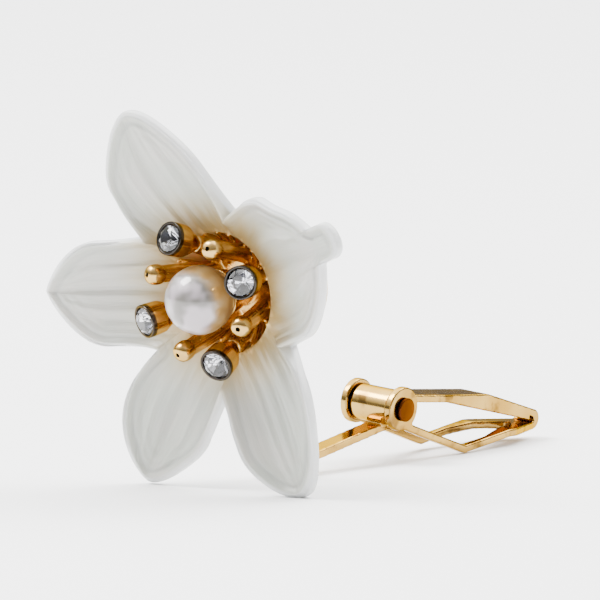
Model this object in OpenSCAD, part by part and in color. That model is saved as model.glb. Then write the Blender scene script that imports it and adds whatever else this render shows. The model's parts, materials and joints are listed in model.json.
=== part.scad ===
// Clip-on flower earring: a moulded five-petal flower with a gold stamen casting,
// four cut stones and a pearl, on a clip whose lever stands open.
// It is drawn with the middle of the pearl at the origin, the flower facing -Y and the clip
// hanging down, and then laid on a level surface, where it rests on two petals and the lever.

/* [Flower] */
// Reach of the longest petal, from the flower's axis to its tip
petal_reach = 12.6; // [10.5:0.1:16]
// Half the width of the broadest petal
petal_half = 4.1; // [3.2:0.1:4.6]
// Thickness of a petal
petal_wall = 0.7; // [0.5:0.05:1.2]
// How far the sides of a petal curl forward
petal_lift = 1.2; // [0.2:0.1:2]
// Height of the ridges along a petal
petal_rib = 0.1; // [0:0.02:0.2]
// Distance from the axis to the outermost notch between two petals
notch_reach = 5.8; // [5:0.1:6.6]
// How far the deepest notch lies behind the middle of the pearl
notch_back = 2.6; // [1.6:0.1:3.2]
// How far the floor of the flower's bell lies behind the middle of the pearl
bell_back = 4.6; // [4.2:0.1:6]
// How far the throat lies in front of the bell's floor
bell_rise = 2.6; // [1.2:0.1:2.8]
// Radius at which the bell opens into the petals
throat_r = 3.6; // [3.4:0.1:4.2]
// Thickness of the flower at the floor of the bell
bell_wall = 1.3; // [0.9:0.1:2]

/* [Stamens] */
// Radius of the round dish that the stamens grow from
dish_r = 2.4; // [2.2:0.1:2.8]
// Thickness of the dish
dish_t = 0.6; // [0.4:0.05:0.9]
// Radius of the stud that holds the flower to the clip
stud_r = 1.1; // [0.7:0.05:1.3]
// Number of fine filaments round the dish
filament_count = 24; // [12:4:32]
// Radius of a filament
filament_r = 0.22; // [0.12:0.01:0.26]
// Distance from the axis to the middle of a stone
stone_ring_r = 3.9; // [3.7:0.1:4.6]
// How far the face of a stone lies in front of the middle of the pearl
stone_front = 0.7; // [0:0.1:1.5]
// Distance from the axis to the middle of a knob
knob_ring_r = 3.3; // [3.1:0.1:4]
// How far a knob lies in front of the middle of the pearl
knob_front = 0.1; // [-0.5:0.1:1]
// Radius of a knob
knob_r = 0.6; // [0.5:0.05:0.8]
// Radius of a stalk where it leaves the dish
stalk_r = 0.5; // [0.35:0.05:0.6]

/* [Stones and pearl] */
// Radius of a cut stone at its girdle
stone_r = 0.8; // [0.6:0.02:1]
// Wall of the cup round a stone
cup_wall = 0.16; // [0.12:0.02:0.3]
// Length of the cup behind the face of a stone
cup_len = 2; // [1.4:0.1:2.6]
// Radius of the pearl
pearl_r = 2; // [1.6:0.05:2.2]
// Radius of the peg that the pearl sits on
peg_r = 0.35; // [0.25:0.05:0.5]

/* [Clip arm] */
// Radius of the plate behind the flower
plate_r = 4; // [3:0.1:5]
// Thickness of the plate
plate_t = 0.8; // [0.5:0.05:1.2]
// Width of the arm's strip
strip_w = 1.1; // [0.8:0.1:2.2]
// Thickness of the arm's strip
strip_t = 0.5; // [0.4:0.05:1]
// Radius of the arm's lower bend, at the middle of the strip
bend_r = 3; // [2:0.1:3.6]
// Rise of the strip from the lower bend to the hinge, in degrees
arm_slope = 4; // [2:1:10]
// How far the hinge lies behind the middle of the pearl
hinge_back = 16.6; // [15:0.1:20]
// How far the hinge lies below the middle of the pearl
hinge_drop = 9.6; // [8.5:0.1:10.5]

/* [Hinge] */
// Radius of the hinge pin
pin_r = 0.45; // [0.3:0.05:0.6]
// Radius of the arm's rolled knuckle
knuckle_r = 1.05; // [0.85:0.05:1.2]
// Width of the knuckle between the lever's ears
knuckle_w = 2.6; // [2:0.1:3.4]
// Radius of the lever's ears
ear_r = 1.3; // [1.2:0.05:1.6]
// Thickness of an ear
ear_t = 0.45; // [0.3:0.05:0.6]

/* [Lever] */
// Distance from the hinge back to the fold at the lever's tip
lever_len = 13.6; // [12:0.1:17]
// Drop from the hinge to the middle of the fold
lever_drop = 3.6; // [3.2:0.1:4]
// Distance from the hinge back to the knee of the loop
knee_back = 5.8; // [5:0.1:7.5]
// Drop from the hinge to the knee
knee_drop = 3.6; // [3.3:0.05:3.9]
// Thickness of the lever's strip
lever_t = 0.45; // [0.35:0.05:0.6]
// Width of each rail of the loop
rail_w = 0.65; // [0.5:0.05:1]
// Width of the spring leaf at its broadest
leaf_w = 2.4; // [1.6:0.1:2.5]
// Drop from the hinge to the bend in the spring leaf
leaf_bend_drop = 1.3; // [1.1:0.1:1.7]
// Radius of the fold, at the middle of the strip
fold_r = 0.38; // [0.34:0.02:0.6]
// Half the width of the lever at the fold
tip_half = 0.75; // [0.5:0.05:1.2]

/* [Hidden] */
$fn = 48;

// Gap between pieces that are set, glued or riveted together
seat_gap = 0.1;
// Running clearance between the pin and what turns on it
pin_gap = 0.05;
// How deep the arm's strip is soldered into the plate
solder_depth = 0.1;

// The petals, counter-clockwise from the right as seen from the front. Lengths are shares:
// reach and sweep of petal_reach, halves and spur of petal_half, lifts of petal_lift,
// tip_back of notch_back. Belly and body_end are shares of the way from notch to tip.
DIRECTION = 0;
REACH = 1;
TIP_BACK = 2;
HALF_A = 3;
HALF_B = 4;
LIFT_A = 5;
LIFT_B = 6;
BELLY = 7;
BODY_END = 8;
POINT = 9;
SWEEP = 10;
SPUR = 11;
PETALS = [
  // direction, reach, tip_back, half_a, half_b, lift_a, lift_b, belly, body_end, point, sweep, spur
  [ 27, 0.92, -0.10, 1.00, 1.00, 0.45, 0.45, 0.33, 0.78, 0.55,  0.00, 0.20],
  [118, 0.91, -0.55, 0.73, 0.86, 0.20, 0.45, 0.34, 1.00, 0.70, -0.10, 0.00],
  [184, 0.91,  0.15, 0.83, 0.70, 0.60, 0.90, 0.38, 1.00, 0.90,  0.04, 0.00],
  [248, 1.00,  0.50, 0.72, 0.72, 0.10, 1.00, 0.28, 1.00, 0.72,  0.00, 0.00],
  [311, 1.00,  0.50, 0.65, 0.78, 0.90, 0.75, 0.40, 1.00, 0.78, -0.13, 0.00],
];
// The notch on the counter-clockwise side of each petal: direction, and shares of
// notch_reach and notch_back
NOTCH_DIR = 0;
NOTCH_OUT = 1;
NOTCH_BACK = 2;
NOTCHES = [
  // direction, out, back
  [ 76, 0.85, 0.70],
  [147, 0.88, 0.45],
  [223, 1.00, 1.00],
  [281, 0.96, 0.50],
  [335, 0.93, 0.90],
];
// Which petals the earring stands on
STANDS_ON = [3, 4];

// The bell's rings, from the hole to the throat: shares of the way out to throat_r, and of
// the way forward from the floor to the throat
BELL_OUT = 0;
BELL_RISE = 1;
BELL_RINGS = [
  // out, rise
  [0.00, 0.00],
  [0.54, 0.02],
  [0.78, 0.45],
  [1.00, 1.00],
];

count = len(PETALS);
petal_cols = 22;
petal_rows = 12;
ribs_across = 1.5;
hole_r = stud_r + seat_gap;
throat_back = bell_back - bell_rise;
// Wall at the throat, measured backwards along the steep side of the bell
throat_wall = bell_wall + 0.5;
rim_bulge = 0.3 * petal_wall;
// How quickly a petal comes forward from the throat
come_forward = 1.5;
// How closely the columns crowd towards a petal's tip
crowding = 1.4;
// Where along a petal its spur starts, has its full width and rounds off, as shares
spur_start = 0.4;
spur_full = 0.6;
spur_round = 0.85;
// How softly the spur grows out of the petal's body
spur_blend = 3;
// Share of petal_lift by which a petal is hollowed between its midline and its sides
hollow_depth = 0.9;
// The least half width that the hollow and the ridges are spread over
least_half = 0.3;
// How soon behind the throat a petal has thinned to petal_wall, as a share of its length
thin_by = 1 / 3;

function clamp01(x) = min(1, max(0, x));
function mix(a, b, t) = a + (b - a) * t;

// One notch as [angle, radius, back], and the notches on the two sides of petal i, with
// angles that don't jump at the full turn
function notch(i) = [
  NOTCHES[i][NOTCH_DIR], NOTCHES[i][NOTCH_OUT] * notch_reach, NOTCHES[i][NOTCH_BACK] * notch_back
];
function notch_b(i) =
  let (n = notch((i + count - 1) % count))
  n[0] > PETALS[i][DIRECTION] ? [n[0] - 360, n[1], n[2]] : n;

// Half the width of petal i at share q from notch to tip. side is 1 counter-clockwise, -1 clockwise
function half_width(i, side, q) =
  let (
    p = PETALS[i],
    n = side > 0 ? notch(i) : notch_b(i),
    root = n[1] * abs(sin(n[0] - p[DIRECTION])),
    full = petal_half * (side > 0 ? p[HALF_A] : p[HALF_B]),
    narrowing = clamp01((q - p[BELLY]) / (p[BODY_END] - p[BELLY])),
    body = q < p[BELLY] ? mix(root, full, sin(90 * q / p[BELLY])) : full * pow(cos(90 * narrowing), p[POINT]),
    spur_in = clamp01((q - spur_start) / (spur_full - spur_start)),
    spur_out = clamp01((q - spur_round) / (1 - spur_round)),
    spur = petal_half * p[SPUR] * spur_in * sqrt(1 - pow(spur_out, 2))
  )
  q >= 1 ? 0 : pow(pow(body, spur_blend) + pow(spur, spur_blend), 1 / spur_blend);

// Outline of petal i at share tau, from its clockwise notch over the tip to the other notch
function outline(i, tau) =
  let (
    p = PETALS[i],
    side = tau < 0.5 ? -1 : 1,
    n = side > 0 ? notch(i) : notch_b(i),
    q = 1 - pow(abs(1 - 2 * tau), crowding),
    start = n[1] * cos(n[0] - p[DIRECTION]),
    along = mix(start, petal_reach * p[REACH], q),
    across = side * half_width(i, side, q) + petal_reach * p[SWEEP] * q * q,
    lift = petal_lift * (side > 0 ? p[LIFT_A] : p[LIFT_B]),
    back = mix(n[2], notch_back * p[TIP_BACK], q) - lift * 4 * q * (1 - q) - petal_wall / 2
  )
  [along * cos(p[DIRECTION]) - across * sin(p[DIRECTION]), back,
   along * sin(p[DIRECTION]) + across * cos(p[DIRECTION])];

// Where column tau of petal i leaves the throat
function throat_point(i, tau) =
  let (a = mix(notch_b(i)[0], notch(i)[0], tau))
  [throat_r * cos(a), throat_back, throat_r * sin(a)];

// What a point of petal i adds to the depth of a plain fold: the rounding of the petal's
// hollow, and its ridges. The point is given in the flower's plane.
function hollow(i, x, z, t) =
  let (
    p = PETALS[i],
    along = x * cos(p[DIRECTION]) + z * sin(p[DIRECTION]),
    across = -x * sin(p[DIRECTION]) + z * cos(p[DIRECTION]),
    side = across < 0 ? -1 : 1,
    n = side > 0 ? notch(i) : notch_b(i),
    start = n[1] * cos(n[0] - p[DIRECTION]),
    q = clamp01((along - start) / (petal_reach * p[REACH] - start)),
    half = max(least_half, half_width(i, side, q)),
    v = clamp01(abs(across - petal_reach * p[SWEEP] * q * q) / half)
  )
  (hollow_depth * petal_lift * (v - v * v) + petal_rib * cos(360 * ribs_across * v)) * sin(180 * t);

// Front surface of petal i at share t from the throat to the outline
function petal_point(i, tau, t) =
  let (
    a = throat_point(i, tau),
    b = outline(i, tau),
    x = mix(a[0], b[0], t),
    z = mix(a[2], b[2], t),
    y = mix(a[1], b[1], 1 - pow(1 - t, come_forward))
  )
  [x, y + hollow(i, x, z, t), z];

// Rings of points round the flower, each with every petal's columns in turn
function bell_ring(k) = [
  for (i = [0 : count - 1], c = [0 : petal_cols - 1])
    let (
      r = mix(hole_r, throat_r, BELL_RINGS[k][BELL_OUT]),
      a = throat_point(i, c / petal_cols) / throat_r
    )
    [a[0] * r, mix(bell_back, throat_back, BELL_RINGS[k][BELL_RISE]), a[2] * r]
];
function petal_ring(t) = [
  for (i = [0 : count - 1], c = [0 : petal_cols - 1]) petal_point(i, c / petal_cols, t)
];
function rim_ring() = [
  for (i = [0 : count - 1], c = [0 : petal_cols - 1])
    let (
      a = throat_point(i, c / petal_cols),
      b = outline(i, c / petal_cols),
      out = [b[0] - a[0], 0, b[2] - a[2]]
    )
    b + out / norm(out) * rim_bulge + [0, petal_wall / 2, 0]
];
function moved_back(ring, by) = [for (p = ring) p + [0, by, 0]];

last_bell = len(BELL_RINGS) - 1;
front_rings = concat(
  [for (k = [0 : last_bell]) bell_ring(k)],
  [for (r = [1 : petal_rows]) petal_ring(r / petal_rows)]
);
// The wall at each ring, measured backwards
ring_walls = concat(
  [for (k = [0 : last_bell]) mix(bell_wall, throat_wall, BELL_RINGS[k][BELL_RISE])],
  [for (r = [1 : petal_rows]) mix(throat_wall, petal_wall, clamp01(r / petal_rows / thin_by))]
);
ring_total = len(front_rings);
front_edge = front_rings[ring_total - 1];
outline_rings = [front_edge, rim_ring(), moved_back(front_edge, petal_wall)];
flower_rings = concat(
  front_rings,
  [rim_ring()],
  [for (k = [ring_total - 1 : -1 : 0]) moved_back(front_rings[k], ring_walls[k])]
);

// Closes rings of equal length into one skin that runs round the hole
module ring_skin(rings) {
  across = len(rings[0]);
  down = len(rings);
  polyhedron(
    points = [for (ring = rings, p = ring) p],
    faces = [
      for (r = [0 : down - 1], c = [0 : across - 1])
        let (
          r2 = (r + 1) % down,
          c2 = (c + 1) % across,
          a = r * across + c,
          b = r * across + c2,
          d = r2 * across + c2,
          e = r2 * across + c
        )
        each [[a, b, d], [a, d, e]]
    ]
  );
}

// Places of the stamens. Each is drawn at the right of the flower, in its level plane, as
// [out from the axis, back], and then turned to its direction.
stones = 4;
stone_turn = 26;
knob_turn = 72;
dish_front = bell_back - seat_gap - dish_t;
root_back = dish_front + dish_t / 2;
// How far inside the dish's edge the stalks of the stones and of the knobs grow
stone_inset = 0.35;
knob_inset = 0.5;
stone_root = [dish_r - stone_inset, root_back];
knob_root = [dish_r - knob_inset, root_back];
stone_face = [stone_ring_r, -stone_front];
knob_place = [knob_ring_r, -knob_front];
// A stalk's radius at its end, as a share of stalk_r
stone_taper = 0.85;
knob_taper = 1.1;
// The dimple in a knob, as shares of knob_r: its floor from the knob's middle, and its radius
dimple_floor = 0.6;
dimple_r = 0.25;
// Space round a stone in its cup, and below its point
stone_gap = 0.03;
point_gap = 0.05;
pocket_r = stone_r + stone_gap;
cup_r = pocket_r + cup_wall;
// A stone's heights above, at and below its girdle, and the radii of its table, of its middle
// row of facets and of its point, as shares of stone_r. The middle row's height is a share of
// the crown's.
stone_crown = 0.34 * stone_r;
stone_girdle = 0.08 * stone_r;
stone_pavilion = 0.85 * stone_r;
table_share = 0.56;
middle_share = 0.8;
middle_height = 0.62;
point_share = 0.06;
// How far the girdle sits below the lip of its cup
stone_sunk = 0.06;

// Turns children from the right of the flower to direction a
module at_direction(a) {
  rotate([0, -a, 0]) children();
}

// Puts children's origin at from and their +Z towards to, both in the level plane
module towards(from, to) {
  d = to - from;
  translate([from[0], from[1], 0]) rotate([-90, 0, -atan2(d[0], d[1])]) children();
}

module taper(from, to, r1, r2) {
  towards(from, to) cylinder(h = norm(to - from), r1 = r1, r2 = r2);
}

// A round stalk that carries a cup, open for its stone
module stone_stalk() {
  reach = norm(stone_face - stone_root);
  pocket = stone_girdle + stone_pavilion + stone_sunk + point_gap;
  difference() {
    union() {
      taper(stone_root, stone_face, stalk_r, stone_taper * stalk_r);
      towards(stone_root, stone_face) {
        translate([0, 0, reach - cup_len]) cylinder(h = cup_len / 2, r1 = stalk_r, r2 = cup_r);
        translate([0, 0, reach - cup_len / 2]) cylinder(h = cup_len / 2, r = cup_r);
      }
    }
    towards(stone_root, stone_face) translate([0, 0, reach - pocket]) cylinder(h = pocket + 1, r = pocket_r);
  }
}

// A round stalk that ends in a ball with a small dimple
module knob_stalk() {
  reach = norm(knob_place - knob_root);
  difference() {
    union() {
      taper(knob_root, knob_place, stalk_r, knob_taper * stalk_r);
      towards(knob_root, knob_place) translate([0, 0, reach]) sphere(r = knob_r);
    }
    towards(knob_root, knob_place)
      translate([0, 0, reach + dimple_floor * knob_r]) cylinder(h = knob_r, r = dimple_r * knob_r);
  }
}

// Where a filament leaves the dish, as a share of dish_r, and how far inside and in front of
// the throat it ends
filament_out = 0.7;
filament_in = 0.1;
filament_front = 0.5;
filament_root = [filament_out * dish_r, root_back];
filament_end = [throat_r - filament_in, throat_back - filament_front];

module filament() {
  taper(filament_root, filament_end, filament_r, filament_r);
}

// The peg's end behind the pearl's middle, the seat's hollow and its foot, as shares, and the
// width of its lip
peg_end = 0.3 * pearl_r;
seat_r = 0.72 * pearl_r;
seat_foot = 0.6 * seat_r;
seat_lip = 0.08;
seat_back = sqrt(pow(pearl_r + seat_gap / 2, 2) - pow(seat_r, 2));

// The cup and peg that hold the pearl
module pearl_seat() {
  difference() {
    taper([0, root_back], [0, seat_back], seat_foot, seat_r + seat_lip);
    sphere(r = pearl_r + seat_gap / 2);
  }
  taper([0, root_back], [0, peg_end], peg_r, peg_r);
}

plate_front = bell_back + bell_wall + seat_gap;
plate_back = plate_front + plate_t;

// The gold casting: dish, filaments, cups, knobs, pearl seat, and the stud behind
module stamens() {
  color("goldenrod") laid_down() {
    taper([0, dish_front + dish_t], [0, dish_front], dish_r, dish_r);
    taper([0, plate_back - solder_depth - seat_gap], [0, dish_front], stud_r, stud_r);
    pearl_seat();
    for (k = [0 : filament_count - 1]) at_direction(360 * (k + 0.5) / filament_count) filament();
    for (k = [0 : stones - 1]) {
      at_direction(stone_turn + 360 * k / stones) stone_stalk();
      at_direction(knob_turn + 360 * k / stones) knob_stalk();
    }
  }
}

module flower() {
  color("whitesmoke") laid_down() ring_skin(flower_rings);
}

module pearl() {
  color("ivory") laid_down() difference() {
    sphere(r = pearl_r);
    taper([0, pearl_r + 1], [0, peg_end - seat_gap], peg_r + pin_gap, peg_r + pin_gap);
  }
}

// A round cut stone, its girdle at height 0: a table with eight sides over eight kites and
// sixteen small facets, and eight facets below that meet near a point
module cut_stone() {
  sides = 8;
  sliver = 0.01;
  hull() {
    translate([0, 0, stone_crown - sliver])
      rotate(180 / sides) cylinder(h = sliver, r = table_share * stone_r, $fn = sides);
    translate([0, 0, middle_height * stone_crown])
      cylinder(h = sliver, r = middle_share * stone_r, $fn = sides);
    translate([0, 0, -stone_girdle])
      rotate(90 / sides) cylinder(h = stone_girdle, r = stone_r, $fn = 2 * sides);
    translate([0, 0, -stone_girdle - stone_pavilion])
      cylinder(h = sliver, r = point_share * stone_r, $fn = sides);
  }
}

module crystal(k) {
  color("lightcyan") laid_down() at_direction(stone_turn + 360 * k / stones)
    towards(stone_root, stone_face) translate([0, 0, norm(stone_face - stone_root) - stone_sunk]) cut_stone();
}

// The clip, drawn in its side view as [back, up] from the middle of the pearl
hinge = [hinge_back, -hinge_drop];
arm_back = plate_back + strip_t / 2 - solder_depth;
// The strip ends under the knuckle, which is soldered on it
strip_end = hinge + (knuckle_r + strip_t / 2 - solder_depth) * [sin(arm_slope), -cos(arm_slope)];
bend_leave = arm_back + bend_r * (1 + sin(arm_slope));
bend_leave_up = strip_end[1] - (strip_end[0] - bend_leave) * tan(arm_slope);
bend_mid = [arm_back + bend_r, bend_leave_up + bend_r * cos(arm_slope)];
// How far up the plate the strip is soldered, from its middle
solder_top = 0.6 * plate_r;

// How far a straight stretch runs on into what follows it, and how much a bend is thicker than
// its strip on each face, so that what runs on into it ends inside it
run_on = 0.02;
bend_swell = 0.01;

// A straight stretch of strip from p to q, thickness t
module stretch(p, q, t) {
  d = q - p;
  translate(p) rotate(atan2(d[1], d[0])) translate([-run_on, -t / 2]) square([norm(d) + 2 * run_on, t]);
}

// A bent stretch of strip round m, from angle a to angle b, less than half a turn
module bend(m, r, t, a, b) {
  far = 4 * (r + t);
  middle = (a + b) / 2;
  translate(m) intersection() {
    difference() {
      circle(r = r + t / 2 + bend_swell);
      circle(r = r - t / 2 - bend_swell);
    }
    polygon([[0, 0], far * [cos(a), sin(a)], far * [cos(middle), sin(middle)], far * [cos(b), sin(b)]]);
  }
}

// A round bar across the clip, its middle at [x, back, up]
module cross_bar(at, length, r) {
  translate(at) rotate([0, 90, 0]) cylinder(h = length, r = r, center = true);
}

// Gives a side view its width, centred on the clip
module wide(w) {
  rotate([90, 0, 90]) translate([0, 0, -w / 2]) linear_extrude(w) children();
}

module arm_side_view() {
  stretch([arm_back, solder_top], [arm_back, bend_mid[1]], strip_t);
  bend(bend_mid, bend_r, strip_t, 180, 270 + arm_slope);
  stretch(bend_mid + bend_r * [sin(arm_slope), -cos(arm_slope)], strip_end, strip_t);
}

// The gold back: plate, strip and rolled knuckle, soldered together
module clip_arm() {
  color("gold") laid_down() difference() {
    union() {
      taper([0, plate_front], [0, plate_back], plate_r, plate_r);
      wide(strip_w) arm_side_view();
      cross_bar([0, hinge[0], hinge[1]], knuckle_w, knuckle_r);
    }
    taper([0, plate_front - 1], [0, plate_back - solder_depth], hole_r, hole_r);
    cross_bar([0, hinge[0], hinge[1]], 2 * knuckle_w, pin_r + pin_gap);
  }
}

ear_inside = knuckle_w / 2 + seat_gap;
ear_outside = ear_inside + ear_t;
// The pin's heads
head_t = 0.2;
head_lip = 0.25;

// The hinge pin, with a low head at each end
module hinge_pin() {
  half = ear_outside + pin_gap;
  color("darkgoldenrod") laid_down() at_hinge() {
    cross_bar([0, 0, 0], 2 * half, pin_r);
    for (side = [-1, 1]) cross_bar([side * (half + head_t / 2), 0, 0], head_t, pin_r + head_lip);
  }
}

// The lever, in the side view measured from the hinge
fold_mid = [lever_len, -lever_drop];
fold_out = fold_r + lever_t / 2 + bend_swell;
knee = [knee_back, -knee_drop];
// Where a rail leaves its ear, as a share of ear_r behind the hinge
rail_back = 0.2;
rail_start = [rail_back * ear_r, -ear_r + lever_t / 2];
// The loop arches a little on its way from the knee to the fold
arch_at = 0.55;
arch_rise = 0.3;
loop_arch = mix(knee, fold_mid - [0, fold_r], arch_at) + [0, arch_rise];
loop_fall = -atan2(lever_drop + fold_r + loop_arch[1], lever_len - loop_arch[0]);
loop_end = fold_mid + fold_r * [sin(loop_fall), -cos(loop_fall)];
// How far the leaf's end stays off the knuckle, how far above the hinge it ends, and where
// along the lever it bends
leaf_gap = 0.4;
leaf_rise = 0.2;
leaf_bend_at = 0.66;
leaf_start = [knuckle_r + leaf_gap, leaf_rise];
leaf_bend = [leaf_bend_at * lever_len, -leaf_bend_drop];
leaf_fall = -atan2(lever_drop - fold_r - leaf_bend_drop, lever_len - leaf_bend[0]);
leaf_end = fold_mid + fold_r * [-sin(leaf_fall), cos(leaf_fall)];

module loop_side_view() {
  stretch(rail_start, knee, lever_t);
  translate(knee) circle(d = lever_t);
  stretch(knee, loop_arch, lever_t);
  translate(loop_arch) circle(d = lever_t);
  stretch(loop_arch, loop_end, lever_t);
}

module leaf_side_view() {
  stretch(leaf_start, leaf_bend, lever_t);
  translate(leaf_bend) circle(d = lever_t);
  stretch(leaf_bend, leaf_end, lever_t);
}

// The flanges that hang from the leaf's sides: their thickness, how deep they reach below the
// leaf's middle at its bend and at their end, where they start, as a share of the way to the
// bend, and where they end, as a share of the way from there to the fold
flange_t = 0.25;
flange_deep = 0.8;
flange_shallow = 0.5;
flange_start = 0.3;
flange_stop = 0.9;

module flange_side_view() {
  flange_end = mix(leaf_bend, leaf_end, flange_stop);
  polygon([
    mix(leaf_start, leaf_bend, flange_start),
    leaf_bend - [0, flange_deep],
    flange_end - [0, flange_shallow],
    flange_end,
    leaf_bend,
  ]);
}

module fold_side_view() {
  bend(fold_mid, fold_r, lever_t, loop_fall - 90, 90 + leaf_fall);
}

// How far each rail bows outwards past the knee, and where it is widest
loop_swell = 0.6;
widest_back = mix(knee_back, lever_len, 0.3);
loop_widest = ear_outside + loop_swell;
// Outlines of the loop, its hole and the leaf from above, as [across, back] on one side
past_fold = lever_len + 3 * fold_r;
broad_rail = 1.6 * rail_w;
loop_outline = [
  [ear_outside, -ear_r],
  [ear_outside, knuckle_r],
  [loop_widest, widest_back],
  [mix(loop_widest, tip_half, 0.4), mix(widest_back, lever_len, 0.5)],
  [tip_half, lever_len],
  [tip_half, past_fold],
];
loop_hole = [
  [ear_inside, -2 * ear_r],
  [ear_inside, knuckle_r + seat_gap],
  [ear_outside - rail_w, 1.5 * ear_r],
  [loop_widest - broad_rail, widest_back],
  [mix(loop_widest, tip_half, 0.4) - broad_rail, mix(widest_back, lever_len, 0.5)],
  [0.1, lever_len - 1.6 * broad_rail],
];
leaf_outline = [
  [0.4 * leaf_w, 0],
  [leaf_w / 2, 0.35 * lever_len],
  [mix(leaf_w / 2, tip_half, 0.4), 0.75 * lever_len],
  [tip_half, lever_len],
  [tip_half, past_fold],
];
leaf_inside = [for (p = leaf_outline) [p[0] - flange_t, p[1]]];
knee_half = mix(ear_outside, loop_widest, (knee_back - knuckle_r) / (widest_back - knuckle_r));

// Both halves of an outline from above, as tall as the lever needs
module from_above(outline) {
  both = concat(outline, [for (k = [len(outline) - 1 : -1 : 0]) [-outline[k][0], outline[k][1]]]);
  tall = 2 * (lever_drop + fold_r + ear_r + 2);
  translate([0, 0, -tall / 2]) linear_extrude(tall) polygon(both);
}

module at_hinge() {
  translate([0, hinge[0], hinge[1]]) children();
}

// The lever: ears, loop, fold and spring leaf, one strip of springy metal
module clip_lever() {
  full = 2 * ear_outside;
  color("gold") laid_down() at_hinge() difference() {
    union() {
      difference() {
        intersection() {
          wide(full) loop_side_view();
          from_above(loop_outline);
        }
        from_above(loop_hole);
      }
      wide(2 * tip_half) fold_side_view();
      intersection() {
        wide(full) leaf_side_view();
        from_above(leaf_outline);
      }
      difference() {
        intersection() {
          wide(full) flange_side_view();
          from_above(leaf_outline);
        }
        from_above(leaf_inside);
      }
      for (side = [-1, 1]) cross_bar([side * (ear_inside + ear_t / 2), 0, 0], ear_t, ear_r);
    }
    cross_bar([0, 0, 0], 2 * full, pin_r + pin_gap);
  }
}

// How it lies: the level surface touches the lowest point of each of two petals and of the
// lever. Those points depend on the tilt, so the tilt is worked out a few times over.
function petal_rim(i) = [
  for (ring = outline_rings, c = [0 : petal_cols - 1]) ring[i * petal_cols + c]
];
lever_low = [
  for (side = [-1, 1])
    each [
      [side * knee_half, hinge[0] + knee[0], hinge[1] + knee[1] - lever_t / 2],
      [side * tip_half, hinge[0] + fold_mid[0], hinge[1] + fold_mid[1] - fold_out],
    ]
];
function lowest(points, up) =
  let (low = min([for (p = points) p * up]))
  [for (p = points) if (p * up == low) p][0];
function resting_up(up, tries) =
  let (
    a = lowest(petal_rim(STANDS_ON[0]), up),
    b = lowest(petal_rim(STANDS_ON[1]), up),
    c = lowest(lever_low, up),
    n = cross(b - a, c - a),
    unit = n / norm(n)
  )
  tries == 0 ? unit : resting_up(unit, tries - 1);
up = resting_up([0, 0, 1], 4);
tip_x = atan2(up[1], up[2]);
tip_y = -atan2(up[0], norm([up[1], up[2]]));

// A point after the tilt, before it is moved to the origin
function tilted(p) =
  let (y = p[1] * cos(tip_x) - p[2] * sin(tip_x), z = p[1] * sin(tip_x) + p[2] * cos(tip_x))
  [p[0] * cos(tip_y) + z * sin(tip_y), y, z * cos(tip_y) - p[0] * sin(tip_y)];
lever_end = hinge + fold_mid + [fold_out, 0];
lever_tip = [for (side = [-1, 1]) [side * tip_half, lever_end[0], lever_end[1]]];
rims = concat(outline_rings[0], outline_rings[1], outline_rings[2]);
reach_points = [for (p = concat(rims, lever_low, lever_tip)) tilted(p)];
function span_mid(axis) =
  let (values = [for (p = reach_points) p[axis]])
  (min(values) + max(values)) / 2;
rest_drop = min([for (p = reach_points) p[2]]);
to_origin = [-span_mid(0), -span_mid(1), -rest_drop];

// Lays children on the level surface, with the origin under the middle of the earring
module laid_down() {
  translate(to_origin) rotate([tip_x, tip_y, 0]) children();
}

flower();
stamens();
pearl();
crystal(0);  // crystal_1
crystal(1);  // crystal_2
crystal(2);  // crystal_3
crystal(3);  // crystal_4
clip_arm();
hinge_pin();
clip_lever();
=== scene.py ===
"""The clip-on flower earring, dressed for its picture.

Shapes are drawn in millimetres in the flower's own frame: the middle of the pearl is the
origin, the flower faces -Y and the clip hangs down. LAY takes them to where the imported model
lies, in metres.
"""
import json
import math
from collections import namedtuple

import bmesh
import bpy
import numpy as np
from mathutils import Matrix, Vector


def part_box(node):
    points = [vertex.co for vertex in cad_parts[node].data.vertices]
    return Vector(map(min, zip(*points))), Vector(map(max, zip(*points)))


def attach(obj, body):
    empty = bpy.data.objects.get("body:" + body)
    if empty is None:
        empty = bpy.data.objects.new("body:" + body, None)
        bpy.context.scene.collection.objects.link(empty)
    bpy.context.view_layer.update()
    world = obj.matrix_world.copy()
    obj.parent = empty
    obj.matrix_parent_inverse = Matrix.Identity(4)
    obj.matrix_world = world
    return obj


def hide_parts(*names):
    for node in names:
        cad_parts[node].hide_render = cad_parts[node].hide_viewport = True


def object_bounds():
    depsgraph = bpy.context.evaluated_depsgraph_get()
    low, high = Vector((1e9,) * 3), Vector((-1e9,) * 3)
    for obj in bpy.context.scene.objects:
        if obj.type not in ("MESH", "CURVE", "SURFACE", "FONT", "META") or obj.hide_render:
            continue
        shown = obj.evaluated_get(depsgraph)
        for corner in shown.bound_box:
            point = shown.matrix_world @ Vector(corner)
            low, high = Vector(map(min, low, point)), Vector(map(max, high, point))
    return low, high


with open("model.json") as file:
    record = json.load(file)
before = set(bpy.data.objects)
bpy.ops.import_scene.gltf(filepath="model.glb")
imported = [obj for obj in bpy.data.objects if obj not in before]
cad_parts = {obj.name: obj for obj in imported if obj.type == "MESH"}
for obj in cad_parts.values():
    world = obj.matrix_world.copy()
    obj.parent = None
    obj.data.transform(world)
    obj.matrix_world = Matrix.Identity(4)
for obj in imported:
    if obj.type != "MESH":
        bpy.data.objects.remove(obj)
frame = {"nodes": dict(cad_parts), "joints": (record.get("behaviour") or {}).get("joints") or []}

CAD_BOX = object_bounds()
MM = 0.001
BODY = "earring"
LEVER = "lever"


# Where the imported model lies

PEARL_R = 2.0
HINGE_BACK = 16.6
HINGE_DROP = 9.6


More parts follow.
